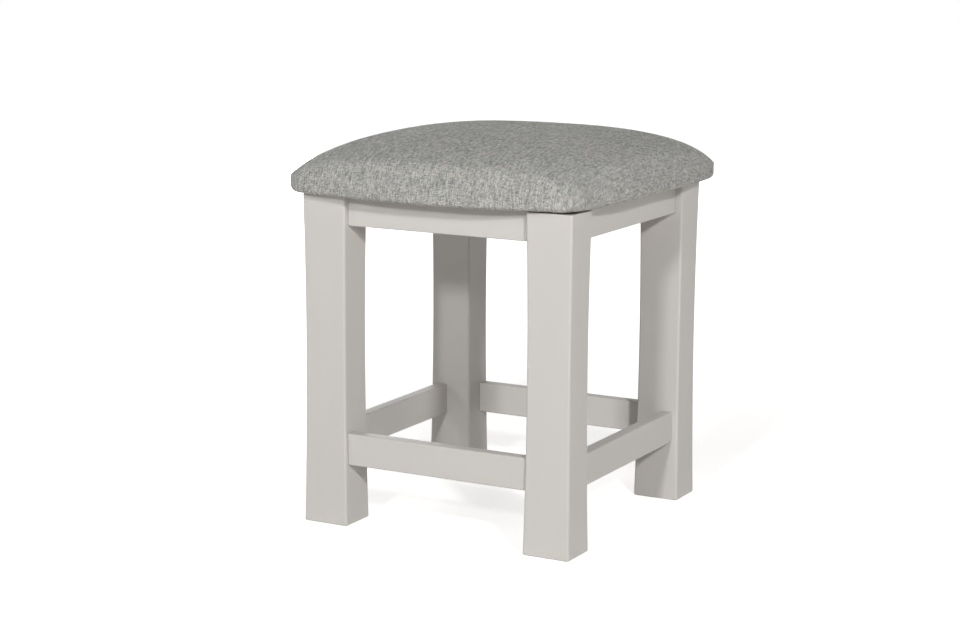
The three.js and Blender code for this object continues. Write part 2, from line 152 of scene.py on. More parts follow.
def makeLamps():
    target = Vector(studio["target"])
    for name, turn, rise, width, power in studio["lamps"]:
        data = bpy.data.lights.new(name, "AREA")
        data.shape = "SQUARE"
        data.size = width
        data.energy = power
        lamp = bpy.data.objects.new(name, data)
        scene.collection.objects.link(lamp)
        turn, rise = math.radians(turn), math.radians(rise)
        away = Vector((math.sin(turn) * math.cos(rise), -math.cos(turn) * math.cos(rise), math.sin(rise)))
        place = Matrix.Translation(target + away * studio["lampDistance"])
        lamp.matrix_world = place @ away.to_track_quat("Z", "Y").to_matrix().to_4x4()


# How much of a ray comes from the camera, or from it by way of a gloss or through glass
def seenDirectly(tree):
    path = addNode(tree, "LightPath", {})
    seen = mathNode(tree, "MAXIMUM", path["Is Camera Ray"], path["Is Glossy Ray"])
    return mathNode(tree, "MAXIMUM", seen, path["Is Transmission Ray"])


def makeWorld():
    world = bpy.data.worlds.new("studioAir")
    world.use_nodes = True
    tree = world.node_tree
    tree.nodes.clear()
    colour, strength = studio["worldColour"], studio["worldStrength"]
    air = addNode(tree, "Background", {"Color": colour, "Strength": strength})[0]
    white = addNode(tree, "Background", {"Color": (1, 1, 1, 1), "Strength": 1.0})[0]
    chosen = addNode(tree, "MixShader", {0: seenDirectly(tree), 1: air, 2: white})[0]
    addNode(tree, "OutputWorld", {"Surface": chosen})
    scene.world = world


floorSheet = {
    "size": 14.0,
    "colour": (0.87, 0.85, 0.82, 1.0),
    "nearGlow": 0.68,
    "nearRadius": 0.5,
    "farRadius": 1.15,  # from here on the floor is as white as the air
    "roughness": 0.7,
    "gloss": 0.1,
}


def makeFloor():
    bpy.ops.mesh.primitive_plane_add(size=floorSheet["size"], location=(0, 0, 0))
    floor = bpy.context.object
    floor.name = "floor"
    paper, tree, shader = newMaterial("whitePaper")
    place = addNode(tree, "TexCoord", {})["Object"]
    distance = addNode(tree, "VectorMath", {0: place}, operation="LENGTH")["Value"]
    radii = floorSheet["nearRadius"], floorSheet["farRadius"]
    glow = rangeNode(tree, distance, *radii, floorSheet["nearGlow"], 1.0, "SMOOTHSTEP")
    values = {
        "Base Color": floorSheet["colour"],
        "Roughness": floorSheet["roughness"],
        "Specular IOR Level": floorSheet["gloss"],
        "Emission Color": (1, 1, 1, 1),
        "Emission Strength": mathNode(tree, "MULTIPLY", seenDirectly(tree), glow),
    }
    setInputs(tree, shader, values)
    floor.data.materials.append(paper)


makeCamera()
makeLamps()
makeWorld()
makeFloor()
scene.view_settings.view_transform = "Standard"
print("camera, lamps and floor ready")


# Working tools

def deselectAll():
    if bpy.context.mode != "OBJECT":
        bpy.ops.object.mode_set(mode="OBJECT")
    bpy.ops.object.select_all(action="DESELECT")


def makeActive(piece):
    deselectAll()
    piece.select_set(True)
    bpy.context.view_layer.objects.active = piece


# The new primitive, with its place, turn and scale taken into its points
def settle(name):
    piece = bpy.context.object
    piece.name = name
    bpy.ops.object.transform_apply()
    return piece


def addBox(name, low, high):
    deselectAll()
    low, high = Vector(low), Vector(high)
    bpy.ops.mesh.primitive_cube_add(size=1, location=(low + high) / 2)
    bpy.context.object.scale = high - low
    return settle(name)


def addRod(name, start, end, radius, sides=24):
    deselectAll()
    start, end = Vector(start), Vector(end)
    along = end - start
    turn = along.to_track_quat("Z", "Y").to_euler()
    bpy.ops.mesh.primitive_cylinder_add(
        vertices=sides, radius=radius, depth=along.length, location=(start + end) / 2, rotation=turn
    )
    return settle(name)


def editing(piece, kind):
    makeActive(piece)
    bpy.ops.object.mode_set(mode="EDIT")
    bpy.ops.mesh.select_mode(type=kind)
    bpy.ops.mesh.select_all(action="DESELECT")
    return bmesh.from_edit_mesh(piece.data)


def selectVerts(piece, test):
    shape = editing(piece, "VERT")
    for vert in shape.verts:
        vert.select_set(test(vert.co))
    shape.select_flush_mode()
    bmesh.update_edit_mesh(piece.data)


def selectEdges(piece, test):
    shape = editing(piece, "EDGE")
    for edge in shape.edges:
        edge.select_set(test(edge.verts[0].co, edge.verts[1].co))
    bmesh.update_edit_mesh(piece.data)


def selectFaces(piece, test):
    shape = editing(piece, "FACE")
    for face in shape.faces:
        face.select_set(test(face.calc_center_median(), face.normal))
    bmesh.update_edit_mesh(piece.data)


def leaveEditing():
    bpy.ops.object.mode_set(mode="OBJECT")


def bevelSelected(width, steps):
    bpy.ops.mesh.bevel(offset=width, segments=steps, profile=0.5, affect="EDGES")


def applyModifier(piece, kind, **settings):
    makeActive(piece)
    modifier = piece.modifiers.new("change", kind)
    for label, value in settings.items():
        setattr(modifier, label, value)
    bpy.ops.object.modifier_apply(modifier=modifier.name)


def discard(*pieces):
    for piece in pieces:
        bpy.data.objects.remove(piece)


def cut(piece, cutter, operation="DIFFERENCE"):
    applyModifier(piece, "BOOLEAN", operation=operation, solver="EXACT", object=cutter)
    discard(cutter)


def copyOf(piece, name):
    twin = piece.copy()
    twin.data = piece.data.copy()
    twin.name = name
    twin.data.name = name
    scene.collection.objects.link(twin)
    return twin


def mirrorMesh(piece, signX, signY):
    piece.data.transform(Matrix.Diagonal((signX, signY, 1, 1)))
    if signX * signY < 0:
        selectVerts(piece, lambda co: True)
        bpy.ops.mesh.remove_doubles(threshold=millimetre / 1000)
        bpy.ops.mesh.select_all(action="SELECT")
        bpy.ops.mesh.normals_make_consistent(inside=False)
        leaveEditing()


# To the other side of the middle along one axis, or not
def mirrorAlong(piece, along, side):
    signs = [1, 1]
    signs[along] = side
    mirrorMesh(piece, *signs)


# Two points on the middle line of a box, at these places along one axis
def middleLine(low, high, along, start, end):
    first = (low + high) / 2
    last = first.copy()
    first[along], last[along] = start, end
    return first, last


def pieceName(node):
    words = node.title().replace("_", "")
    return words[0].lower() + words[1:]


smoothAngle = 32


# Smooth over the rounded edges, with the flats kept flat
def smooth(piece):
    makeActive(piece)
    bpy.ops.object.shade_smooth_by_angle(angle=math.radians(smoothAngle))
    applyModifier(piece, "WEIGHTED_NORMAL", keep_sharp=True)


def finishPiece(piece, material, slotName, *nodeNames):
    piece.data.name = piece.name
    piece.data.materials.clear()
    piece.data.materials.append(material)
    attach(piece, "root")
    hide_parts(*nodeNames)


# A finished copy of a pattern, mirrored to the place of its CAD node
def placeTwin(pattern, node, signs, material, slotName):
    twin = copyOf(pattern, pieceName(node))
    mirrorMesh(twin, *signs)
    smooth(twin)
    finishPiece(twin, material, slotName, node)


# Shared effects

socketKinds = {type(None): "NodeSocketVector", tuple: "NodeSocketColor", float: "NodeSocketFloat"}
noiseSpan = (0.3, 0.7)  # most of what a noise gives lies in here


def newGroup(name, inputs, outputs):
    group = bpy.data.node_groups.new(name, "ShaderNodeTree")
    for label, value in inputs.items():
        kind = socketKinds[type(value)]
        socket = group.interface.new_socket(name=label, in_out="INPUT", socket_type=kind)
        if value is not None:
            socket.default_value = value
    for label in outputs:
        kind = "NodeSocketColor" if label == "Colour" else "NodeSocketFloat"
        group.interface.new_socket(name=label, in_out="OUTPUT", socket_type=kind)
    return group, group.nodes.new("NodeGroupInput").outputs, group.nodes.new("NodeGroupOutput")


paintShape = {
    "drift": (9.0, 3.0, 0.55),  # scale, detail, roughness
    "driftSpan": (0.35, 0.7),
    "peelScale": 620.0,
    "peelShare": 0.35,
    "rollScale": 70.0,
    "sheenScale": 22.0,
    "sheenChange": (-0.05, 0.06),
}


# Sprayed paint: a very soft drift of tone, a fine orange peel and a slow sheen change
def makePaintGroup():
    inputs = {
        "Position": None,
        "Colour": (0.6, 0.58, 0.55, 1),
        "Deep Colour": (0.55, 0.53, 0.5, 1),
        "Sheen": 0.45,
    }
    group, given, result = newGroup("sprayedPaint", inputs, ("Colour", "Roughness", "Height"))
    position = given["Position"]
    drift = noiseNode(group, position, *paintShape["drift"])
    driftMask = rangeNode(group, drift, *paintShape["driftSpan"], 0.0, 1.0)
    colour = mixColour(group, driftMask, given["Colour"], given["Deep Colour"])
    peel = noiseNode(group, position, paintShape["peelScale"])
    roll = noiseNode(group, position, paintShape["rollScale"])
    height = mathNode(group, "MULTIPLY_ADD", peel, paintShape["peelShare"], roll)
    sheenNoise = noiseNode(group, position, paintShape["sheenScale"])
    change = rangeNode(group, sheenNoise, *noiseSpan, *paintShape["sheenChange"])
    roughness = mathNode(group, "ADD", given["Sheen"], change)
    setInputs(group, result, {"Colour": colour, "Roughness": roughness, "Height": height})
    return group


weaveShape = {
    "threadStep": 7.31,  # keeps the tones of two neighbouring threads apart
    "fleckSeed": 3.7,
    "slubSeed": 30.1,
    "weftSeed": 11.0,  # added to both for the weft
    "toneSpread": 0.22,  # of the threads, to each side of the middle tone
    "patchScale": 34.0,
    "patchShare": 0.05,
    "gapHeight": 0.45,
}


# Plain weave on a flat map in metres: every crossing has its own fleck, every thread its faint slubs
def makeWeaveGroup():
    inputs = {
        "Map": None,
        "Threads": 800.0,
        "Dark": (0.2, 0.2, 0.19, 1),
        "Light": (0.6, 0.6, 0.58, 1),
        "Fleck Length": 2.2,
        "Warp Stretch": 1.0,
        "Slub Length": 0.022,
        "Slub Share": 0.4,
        "Gap Shade": 0.75,
        "Thick Yarn": 0.0,
    }
    group, given, result = newGroup("plainWeave", inputs, ("Colour", "Height"))
    flat = addNode(group, "SeparateXYZ", {0: given["Map"]})
    threads = given["Threads"]
    across = mathNode(group, "MULTIPLY", flat["X"], threads)
    along = mathNode(group, "MULTIPLY", flat["Y"], threads)
    slubThreads = mathNode(group, "MULTIPLY", threads, given["Slub Length"])

    # the tone runs along a thread and changes from one thread to the next
    def threadTone(thread, run, seed):
        stepped = mathNode(group, "MULTIPLY", thread, weaveShape["threadStep"])
        place = addNode(group, "CombineXYZ", {"X": stepped, "Y": run, "Z": seed})[0]
        return noiseNode(group, place, 1.0, 0.0)

    weftFleck = given["Fleck Length"]
    warpFleck = mathNode(group, "MULTIPLY", weftFleck, given["Warp Stretch"])
    warp = (across, along, 0.0, warpFleck)
    weft = (along, across, 1.0, weftFleck)
    sets = []
    for mine, other, shift, fleckLength in (warp, weft):
        thread = mathNode(group, "FLOOR", mine)
        inside = mathNode(group, "FRACT", mine)
        rounded = mathNode(group, "SINE", mathNode(group, "MULTIPLY", inside, math.pi))
        crossing = mathNode(group, "ADD", other, thread)
        phase = mathNode(group, "MULTIPLY_ADD", crossing, math.pi, shift * math.pi)
        over = mathNode(group, "MULTIPLY_ADD", mathNode(group, "COSINE", phase), 0.5, 0.5)
        height = mathNode(group, "MULTIPLY", rounded, over)
        seed = weaveShape["weftSeed"] * shift
        fleckRun = mathNode(group, "DIVIDE", other, fleckLength)
        fleck = threadTone(thread, fleckRun, weaveShape["fleckSeed"] + seed)
        slubRun = mathNode(group, "DIVIDE", other, slubThreads)
        slub = threadTone(thread, slubRun, weaveShape["slubSeed"] + seed)
        slub = mathNode(group, "SUBTRACT", slub, 0.5)
        slubPart = mathNode(group, "MULTIPLY", slub, given["Slub Share"])
        sets.append((height, mathNode(group, "ADD", fleck, slubPart)))
    (warpHeight, warpTone), (weftHeight, weftTone) = sets
    weftOnTop = mathNode(group, "GREATER_THAN", weftHeight, warpHeight)
    tone = addNode(group, "Mix", {"Factor": weftOnTop, "A": warpTone, "B": weftTone})[0]
    patch = noiseNode(group, given["Map"], weaveShape["patchScale"])
    patch = mathNode(group, "SUBTRACT", patch, 0.5)
    drift = mathNode(group, "MULTIPLY_ADD", patch, weaveShape["patchShare"], tone)
    spread = weaveShape["toneSpread"]
    shade = rangeNode(group, drift, 0.5 - spread, 0.5 + spread, 0.0, 1.0)
    colour = mixColour(group, shade, given["Dark"], given["Light"])
    height = mathNode(group, "MAXIMUM", warpHeight, weftHeight)
    gap = rangeNode(group, height, 0.0, weaveShape["gapHeight"], given["Gap Shade"], 1.0)
    dimmed = mixColour(group, 1.0, colour, gap, "MULTIPLY")
    # pale yarn is also thicker
    relief = mathNode(group, "MULTIPLY_ADD", shade, given["Thick Yarn"], height)
    setInputs(group, result, {"Colour": dimmed, "Height": relief})
    return group


grainShape = {
    "wanderScale": 12.0,
    "wanderShare": 0.3,
    "rings": {"Distortion": 2.4, "Detail": 2.0, "Detail Scale": 0.6},
    "ringShare": 0.5,
    "fibre": (900.0, 2.0, 0.7),  # scale, detail, roughness
    "fibreShare": 0.35,
    "darkFrom": 0.2,
    "roughness": (0.6, 0.8),
}


# Straight grain along one axis of a piece
def makeGrainGroup():
    inputs = {
        "Position": None,
        "Pale": (0.6, 0.45, 0.28, 1),
        "Dark": (0.42, 0.28, 0.15, 1),
        "Ring Scale": 90.0,
    }
    group, given, result = newGroup("straightGrain", inputs, ("Colour", "Roughness", "Height"))
    position = given["Position"]
    wander = noiseNode(group, position, grainShape["wanderScale"])
    values = {"Vector": position, "Scale": given["Ring Scale"], **grainShape["rings"]}
    rings = addNode(group, "TexWave", values, wave_type="RINGS", rings_direction="X")["Fac"]
    fibre = noiseNode(group, position, *grainShape["fibre"])
    blended = mathNode(group, "MULTIPLY", rings, grainShape["ringShare"])
    blended = mathNode(group, "MULTIPLY_ADD", fibre, grainShape["fibreShare"], blended)
    blended = mathNode(group, "MULTIPLY_ADD", wander, grainShape["wanderShare"], blended)
    mask = rangeNode(group, blended, grainShape["darkFrom"], 1.0, 0.0, 1.0)
    colour = mixColour(group, mask, given["Pale"], given["Dark"])
    roughness = rangeNode(group, fibre, *noiseSpan, *grainShape["roughness"])
    setInputs(group, result, {"Colour": colour, "Roughness": roughness, "Height": fibre})
    return group


paintGroup = makePaintGroup()
weaveGroup = makeWeaveGroup()
grainGroup = makeGrainGroup()


# Materials

def placeGroup(tree, group, values):
    return addNode(tree, "Group", values, node_tree=group)


def objectPosition(tree, scale=(1, 1, 1)):
    place = addNode(tree, "TexCoord", {})["Object"]
    return addNode(tree, "Mapping", {"Vector": place, "Scale": scale})["Vector"]


def addBump(tree, shader, height, depth):
    bump = addNode(tree, "Bump", {"Height": height, "Distance": depth, "Strength": 1.0})
    setInputs(tree, shader, {"Normal": bump["Normal"]})


paintLook = {
    "paint": {
        "Colour": (0.638, 0.616, 0.590, 1),
        "Deep Colour": (0.614, 0.591, 0.564, 1),
        "Sheen": 0.5,
    },
    "alongScale": 0.12,  # marks are drawn out along a bar
    "gloss": 0.25,
    "bumpDepth": 0.000012,
}


def makePaintedWood(name, scale):
    material, tree, shader = newMaterial(name)
    paint = placeGroup(tree, paintGroup, {"Position": objectPosition(tree, scale), **paintLook["paint"]})
    values = {
        "Base Color": paint["Colour"],
        "Roughness": paint["Roughness"],
        "Specular IOR Level": paintLook["gloss"],
    }
    setInputs(tree, shader, values)
    addBump(tree, shader, paint["Height"], paintLook["bumpDepth"])
    return material


linenLook = {
    "weave": {
        "Threads": 1200.0,  # threads in a metre
        "Dark": (0.25, 0.252, 0.238, 1),
        "Light": (0.94, 0.932, 0.885, 1),
        "Fleck Length": 4.5,  # in threads
        "Warp Stretch": 2.0,
        "Slub Length": 0.02,
        "Slub Share": 0.2,
        "Gap Shade": 0.8,
        "Thick Yarn": 0.6,  # how much prouder a pale yarn stands
    },
    "shader": {
        "Roughness": 0.9,
        "Specular IOR Level": 0.25,
        "Sheen Weight": 0.1,
        "Sheen Roughness": 0.5,
    },
    "fuzz": 0.5,  # painted sheen: the colour is made lighter where the cloth is seen along its surface
    "paintedSheenPower": 3.0,
    "bumpDepth": 0.0006,
}


def makeLinen():
    material, tree, shader = newMaterial("greyLinen")
    flatMap = addNode(tree, "UVMap", {}, uv_map="clothMap")["UV"]
    weave = placeGroup(tree, weaveGroup, {"Map": flatMap, **linenLook["weave"]})
    # Painted sheen: the weave's colour is lightened where the cloth is seen at a grazing angle
    slant = addNode(tree, "LayerWeight", {"Blend": 0.5})["Facing"]
    graze = mathNode(tree, "POWER", slant, linenLook["paintedSheenPower"])
    fuzz = rangeNode(tree, graze, 0.0, 1.0, 1.0, 1.0 + linenLook["fuzz"])
    colour = mixColour(tree, 1.0, weave["Colour"], fuzz, "MULTIPLY")
    setInputs(tree, shader, {"Base Color": colour, **linenLook["shader"]})
    addBump(tree, shader, weave["Height"], linenLook["bumpDepth"])
    return material


woodLook = {
    # pale, dark, scale of the rings, scale along each axis
    "softwood": ((0.66, 0.50, 0.31, 1), (0.50, 0.33, 0.17, 1), 26.0, (1, 1, 1)),
    "plywood": ((0.62, 0.46, 0.28, 1), (0.48, 0.32, 0.17, 1), 14.0, (1, 0.2, 1)),
    "beech": ((0.62, 0.42, 0.25, 1), (0.50, 0.31, 0.17, 1), 60.0, (1, 1, 1)),
}
bareBumpDepth = 0.00006


def makeBareWood(name):
    material, tree, shader = newMaterial(name)
    pale, dark, ringScale, scale = woodLook[name]
    colours = {"Pale": pale, "Dark": dark}
    position = objectPosition(tree, scale)
    grain = placeGroup(tree, grainGroup, {"Position": position, "Ring Scale": ringScale, **colours})
    setInputs(tree, shader, {"Base Color": grain["Colour"], "Roughness": grain["Roughness"]})
    addBump(tree, shader, grain["Height"], bareBumpDepth)
    return material


zincLook = {
    "cloud": (160.0, 3.0, 0.6),  # scale, detail, roughness
    "yellowish": (0.60, 0.56, 0.44, 1),
    "grey": (0.68, 0.68, 0.62, 1),
    "roughness": (0.28, 0.45),
}


def makeZinc():
    material, tree, shader = newMaterial("zincPlate")
    cloud = noiseNode(tree, objectPosition(tree), *zincLook["cloud"])
    colour = mixColour(tree, cloud, zincLook["yellowish"], zincLook["grey"])
    roughness = rangeNode(tree, cloud, *noiseSpan, *zincLook["roughness"])
    setInputs(tree, shader, {"Base Color": colour, "Roughness": roughness, "Metallic": 1.0})
    return material


liningLook = {
    "weave": {
        "Threads": 1500.0,
        "Dark": (0.008, 0.008, 0.009, 1),
        "Light": (0.03, 0.03, 0.032, 1),
        "Slub Length": 0.01,
    },
    "roughness": 0.85,
    "bumpDepth": 0.0001,
}


def makeBlackLining():
    material, tree, shader = newMaterial("blackLining")
    weave = placeGroup(tree, weaveGroup, {"Map": objectPosition(tree), **liningLook["weave"]})
    setInputs(tree, shader, {"Base Color": weave["Colour"], "Roughness": liningLook["roughness"]})
    addBump(tree, shader, weave["Height"], liningLook["bumpDepth"])
    return material


alongScale = paintLook["alongScale"]
uprightPaint = makePaintedWood("uprightPaint", (1, 1, alongScale))
crossPaint = makePaintedWood("crossPaint", (alongScale, 1, 1))
depthPaint = makePaintedWood("depthPaint", (1, alongScale, 1))
greyLinen = makeLinen()
softwood = makeBareWood("softwood")
plywood = makeBareWood("plywood")
beech = makeBareWood("beech")
zincPlate = makeZinc()
blackLining = makeBlackLining()
print("materials ready")


# Legs: one is made at the back right and mirrored to the other corners

legShape = {
    "hollow": 2.3 * millimetre,
    "waistShare": 0.53,  # height of the narrowest place
    "arris": 3.0 * millimetre,
    "footArrisShare": 0.8,  # of the long arris
    "topArrisShare": 0.3,
    "levels": 26,
    "arrisSteps": 4,
}
jointShape = {
    "gap": 0.3 * millimetre,
    "shoulderGap": 0.55 * millimetre,  # the dark line where a bar meets a leg
    "tenonHeight": 26.0 * millimetre,
    "tenonThickness": 8.0 * millimetre,
    "overrun": 3.0 * millimetre,
}


legLow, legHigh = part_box("leg_back_right")


def makeLegBlank(name, grow=0.0):
    centre, half = (legLow + legHigh) / 2, (legHigh - legLow) / 2
    waist = legHigh.z * legShape["waistShare"]
    around = Vector((grow, grow, grow))
    blank = addBox(name, legLow - around, legHigh + around)
    selectEdges(blank, lambda a, b: abs(a.z - b.z) > legHigh.z / 2)
    bpy.ops.mesh.subdivide(number_cuts=legShape["levels"] - 1)
    levels = sorted({round(v.co.z, 5) for v in bmesh.from_edit_mesh(blank.data).verts})
    for z in levels:
        drawIn = legShape["hollow"] * (1 - ((z - waist) / waist) ** 2)
        selectVerts(blank, lambda co: abs(co.z - z) < millimetre)
        bpy.ops.transform.resize(
            value=(1 - drawIn / half.x, 1 - drawIn / half.y, 1), center_override=(centre.x, centre.y, z)
        )
    leaveEditing()
    return blank


def roundLeg(leg):
    weights = leg.data.attributes.new("bevel_weight_edge", "FLOAT", "EDGE")
    for edge in leg.data.edges:
        first, second = (leg.data.vertices[v].co for v in edge.vertices)
        share = 0.0
        if abs(first.z - second.z) > millimetre:
            share = 1.0
        elif first.z < millimetre:
            share = legShape["footArrisShare"]
        elif first.z > legHigh.z - millimetre:
            share = legShape["topArrisShare"]
        weights.data[edge.index].value = share
    steps = legShape["arrisSteps"]
    applyModifier(leg, "BEVEL", limit_method="WEIGHT", width=legShape["arris"], segments=steps)


# A mortise or tenon lies in the middle of the stretcher's end and reaches into the leg
def tenonBox(name, stretcher, along, grow):
    low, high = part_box(stretcher)
    inside = legLow[along] - jointShape["overrun"] * 2
    start, end = middleLine(low, high, along, inside, high[along] + grow)
    for point, side in ((start, -1), (end, 1)):
        point[1 - along] += side * (jointShape["tenonThickness"] / 2 + grow)
        point.z += side * (jointShape["tenonHeight"] / 2 + grow)
    return addBox(name, start, end)


def dowelHole(node, along):
    low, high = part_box(node)
    gap = jointShape["gap"]
    start, end = middleLine(low, high, along, low[along] - gap, high[along] + gap)
    return addRod("dowelHole", start, end, (high.z - low.z) / 2 + gap)


def makeLegs():
    pattern = makeLegBlank("legPattern")
    roundLeg(pattern)
    cut(pattern, tenonBox("mortise", "stretcher_back", 0, jointShape["gap"]))
    cut(pattern, tenonBox("mortise", "stretcher_right", 1, jointShape["gap"]))
    for level in ("lower", "upper"):
        cut(pattern, dowelHole("dowel_back_right_across_" + level, 0))
        cut(pattern, dowelHole("dowel_back_right_along_" + level, 1))
    for corner, signs in corners.items():
        placeTwin(pattern, "leg_" + corner, signs, uprightPaint, "painted_wood")
    discard(pattern)


makeLegs()
print("legs made")


# Rails and stretchers: bars with eased edges whose ends are scribed to the hollow legs

railShape = {"arris": 1.5 * millimetre, "arrisSteps": 3}
stretcherShape = {"arris": 1.8 * millimetre, "arrisSteps": 3}


def makeBar(name, node, along, shape):
    low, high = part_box(node)
    reach = legLow[along] + jointShape["overrun"]
    low[along], high[along] = -reach, reach
    bar = addBox(name, low, high)
    selectEdges(bar, lambda a, b: abs(a[along] - b[along]) > reach)
    bevelSelected(shape["arris"], shape["arrisSteps"])
    leaveEditing()
    for side in (-1, 1):
        leg = makeLegBlank("legCutter", jointShape["shoulderGap"])
        mirrorAlong(leg, along, side)
        cut(bar, leg)
    return bar


def drillRail(rail, along):
    direction = ("across", "along")[along]
    for level in ("lower", "upper"):
        for side in (-1, 1):
            hole = dowelHole("dowel_back_right_" + direction + "_" + level, along)
            mirrorAlong(hole, along, side)
            cut(rail, hole)


def addTenons(stretcher, node, along):
    for side in (-1, 1):
        tenon = tenonBox("tenon", node, along, 0)
        mirrorAlong(tenon, along, side)
        cut(stretcher, tenon, "UNION")


def makeBars():
    for along, reference, sides, paint in (
        (0, "back", {"front": (1, -1), "back": (1, 1)}, crossPaint),
        (1, "right", {"left": (-1, 1), "right": (1, 1)}, depthPaint),
    ):
        rail = makeBar("railPattern", "rail_" + reference, along, railShape)
        drillRail(rail, along)
        stretcher = makeBar("stretcherPattern", "stretcher_" + reference, along, stretcherShape)
        addTenons(stretcher, "stretcher_" + reference, along)
        for side, signs in sides.items():
            for kind, pattern in (("rail", rail), ("stretcher", stretcher)):
                placeTwin(pattern, kind + "_" + side, signs, paint, "painted_wood")
        discard(rail, stretcher)


makeBars()
print("rails and stretchers made")


# Corner blocks: glued and screwed across the inside corners of the rails

blockShape = {
    "thickness": 26.0 * millimetre,
    "arris": 0.9 * millimetre,
    "arrisSteps": 2,
    "play": 0.3 * millimetre,
    "coreShare": 0.55,  # a screw hole, as a share of the screw's head
}


# A screw's box, the axis it lies along and the radius of its head
def screwBox(node):
    low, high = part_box(node)
    along = max(range(3), key=lambda axis: high[axis] - low[axis])
    across = (along + 1) % 3
    return low, high, along, (high[across] - low[across]) / 2


def drillBlock(block, node):
    low, high, along, radius = screwBox(node)
    deeper = jointShape["overrun"]
    start, end = middleLine(low, high, along, low[along] - deeper, high[along] + deeper)
    cut(block, addRod("screwHole", start, end, radius * blockShape["coreShare"]))


def makeBlocks():
    low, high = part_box("corner_block_back_right")
    length = (high.x - low.x) * 2
    middle = Vector((0, 0, (low.z + high.z) / 2))
    half = Vector((length, blockShape["thickness"], high.z - low.z)) / 2
    block = addBox("blockPattern", middle - half, middle + half)
    selectVerts(block, lambda co: True)
    # the far face of the block runs through the box's two low corners
    far = (high.x - low.x) / math.sqrt(2) - blockShape["thickness"] / 2
    bpy.ops.transform.rotate(value=math.radians(45), orient_axis="Z", center_override=(0, 0, 0))
    place = Vector((high.x, high.y, 0)) - Vector((far, far, 0)) / math.sqrt(2)
    bpy.ops.transform.translate(value=place)
    for point, normal in (((high.x, 0, 0), (1, 0, 0)), ((0, high.y, 0), (0, 1, 0))):
        selectVerts(block, lambda co: True)
        bpy.ops.mesh.bisect(plane_co=point, plane_no=normal, use_fill=True, clear_outer=True)
    selectEdges(block, lambda a, b: True)
    bevelSelected(blockShape["arris"], blockShape["arrisSteps"])
    leaveEditing()
    drillBlock(block, "seat_screw_back_right")
    for end in ("side", "end"):
        node = "block_screw_back_right_" + end
        drillBlock(block, node)
        # the screw's head lies in a flat-bottomed recess
        low, high, along, radius = screwBox(node)
        bottom = low[along] + screwShape["headHeightShare"] * (high[along] - low[along])
        inner, outer = middleLine(low, high, along, low[along] - blockShape["thickness"], bottom)
        cut(block, addRod("recess", inner, outer, radius + blockShape["play"]))
    for corner, signs in corners.items():
        placeTwin(block, "corner_block_" + corner, signs, softwood, "block_wood")
    discard(block)


# Screws: a pan head with a cross recess on a turned shank with its point

screwShape = {
    "headHeightShare": 0.085,  # of the whole length
    "pointShare": 0.12,
    "shankShare": 0.5,  # of the head's width
    "crossShare": 0.62,
    "crossWidthShare": 0.14,
    "crossDepthShare": 0.6,  # of the head's height
    "headRoundShare": 0.45,
    "headSides": 32,
    "roundSteps": 4,
    "threadPitch": 2.2 * millimetre,
    "threadDepth": 0.35 * millimetre,
    "turnShares": (0.5, 0.2, 0.1, 0.2),  # root, flank, crest and flank
    "plainTurns": 2,
    "tipShare": 0.08,
}


def makeScrew(name, node):
    low, high, along, radius = screwBox(node)
    length = high[along] - low[along]
    headHeight = length * screwShape["headHeightShare"]
    screw = addRod(name, (0, 0, 0), (0, 0, headHeight), radius, screwShape["headSides"])
    selectEdges(screw, lambda a, b: max(a.z, b.z) < headHeight / 2)
    bevelSelected(headHeight * screwShape["headRoundShare"], screwShape["roundSteps"])
    # the shank is drawn out of the head's flat back
    selectFaces(screw, lambda middle, normal: normal.z > 0.9)
    bpy.ops.mesh.inset(thickness=radius * (1 - screwShape["shankShare"]))
    pitch = screwShape["threadPitch"]
    turns = int(length * (1 - screwShape["pointShare"]) / pitch) - 1
    crest = 1 + screwShape["threadDepth"] / (radius * screwShape["shankShare"])
    z = headHeight
    for turn in range(turns):
        for share, factor in zip(screwShape["turnShares"], (1, crest, 1, 1 / crest)):
            bpy.ops.mesh.extrude_region_move(TRANSFORM_OT_translate={"value": (0, 0, share * pitch)})
            z += share * pitch
            if factor != 1 and turn >= screwShape["plainTurns"]:
                bpy.ops.transform.resize(value=(factor, factor, 1), center_override=(0, 0, z))
    bpy.ops.mesh.extrude_region_move(TRANSFORM_OT_translate={"value": (0, 0, length - z)})
    tip = screwShape["tipShare"]
    bpy.ops.transform.resize(value=(tip, tip, 1), center_override=(0, 0, length))
    leaveEditing()
    reach = radius * screwShape["crossShare"]
    thick = radius * screwShape["crossWidthShare"]
    depth = headHeight * screwShape["crossDepthShare"]
    for sizeX, sizeY in ((reach, thick), (thick, reach)):
        cut(screw, addBox("slot", (-sizeX, -sizeY, -headHeight), (sizeX, sizeY, depth)))
    return screw


def placeScrew(pattern, node, outward):
    low, high, along, _ = screwBox(node)
    direction = Vector((0, 0, 0))
    direction[along] = outward
    start = (low + high) / 2
    start[along] = low[along] if outward > 0 else high[along]
    screw = copyOf(pattern, pieceName(node))
    turn = direction.to_track_quat("Z", "Y").to_matrix().to_4x4()
    screw.data.transform(Matrix.Translation(start) @ turn)
    smooth(screw)
    finishPiece(screw, zincPlate, "screw_steel", node)


def makeScrews():
    seatPattern = makeScrew("seatScrewPattern", "seat_screw_back_right")
    blockPattern = makeScrew("blockScrewPattern", "block_screw_back_right_side")
    for corner, (signX, signY) in corners.items():
        placeScrew(seatPattern, "seat_screw_" + corner, 1)
        placeScrew(blockPattern, "block_screw_" + corner + "_side", signX)
        placeScrew(blockPattern, "block_screw_" + corner + "_end", signY)
    discard(seatPattern, blockPattern)


makeBlocks()
makeScrews()
print("corner blocks and screws made")


def dressCad(material, prefix):
    for name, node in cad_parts.items():
        if name.startswith(prefix):
            for slot in node.material_slots:
                slot.material = material


dressCad(beech, "dowel")
dressCad(plywood, "seat_board")


# Seat pad: a sheet of cells pulled over a domed form and closed below, with room for the board

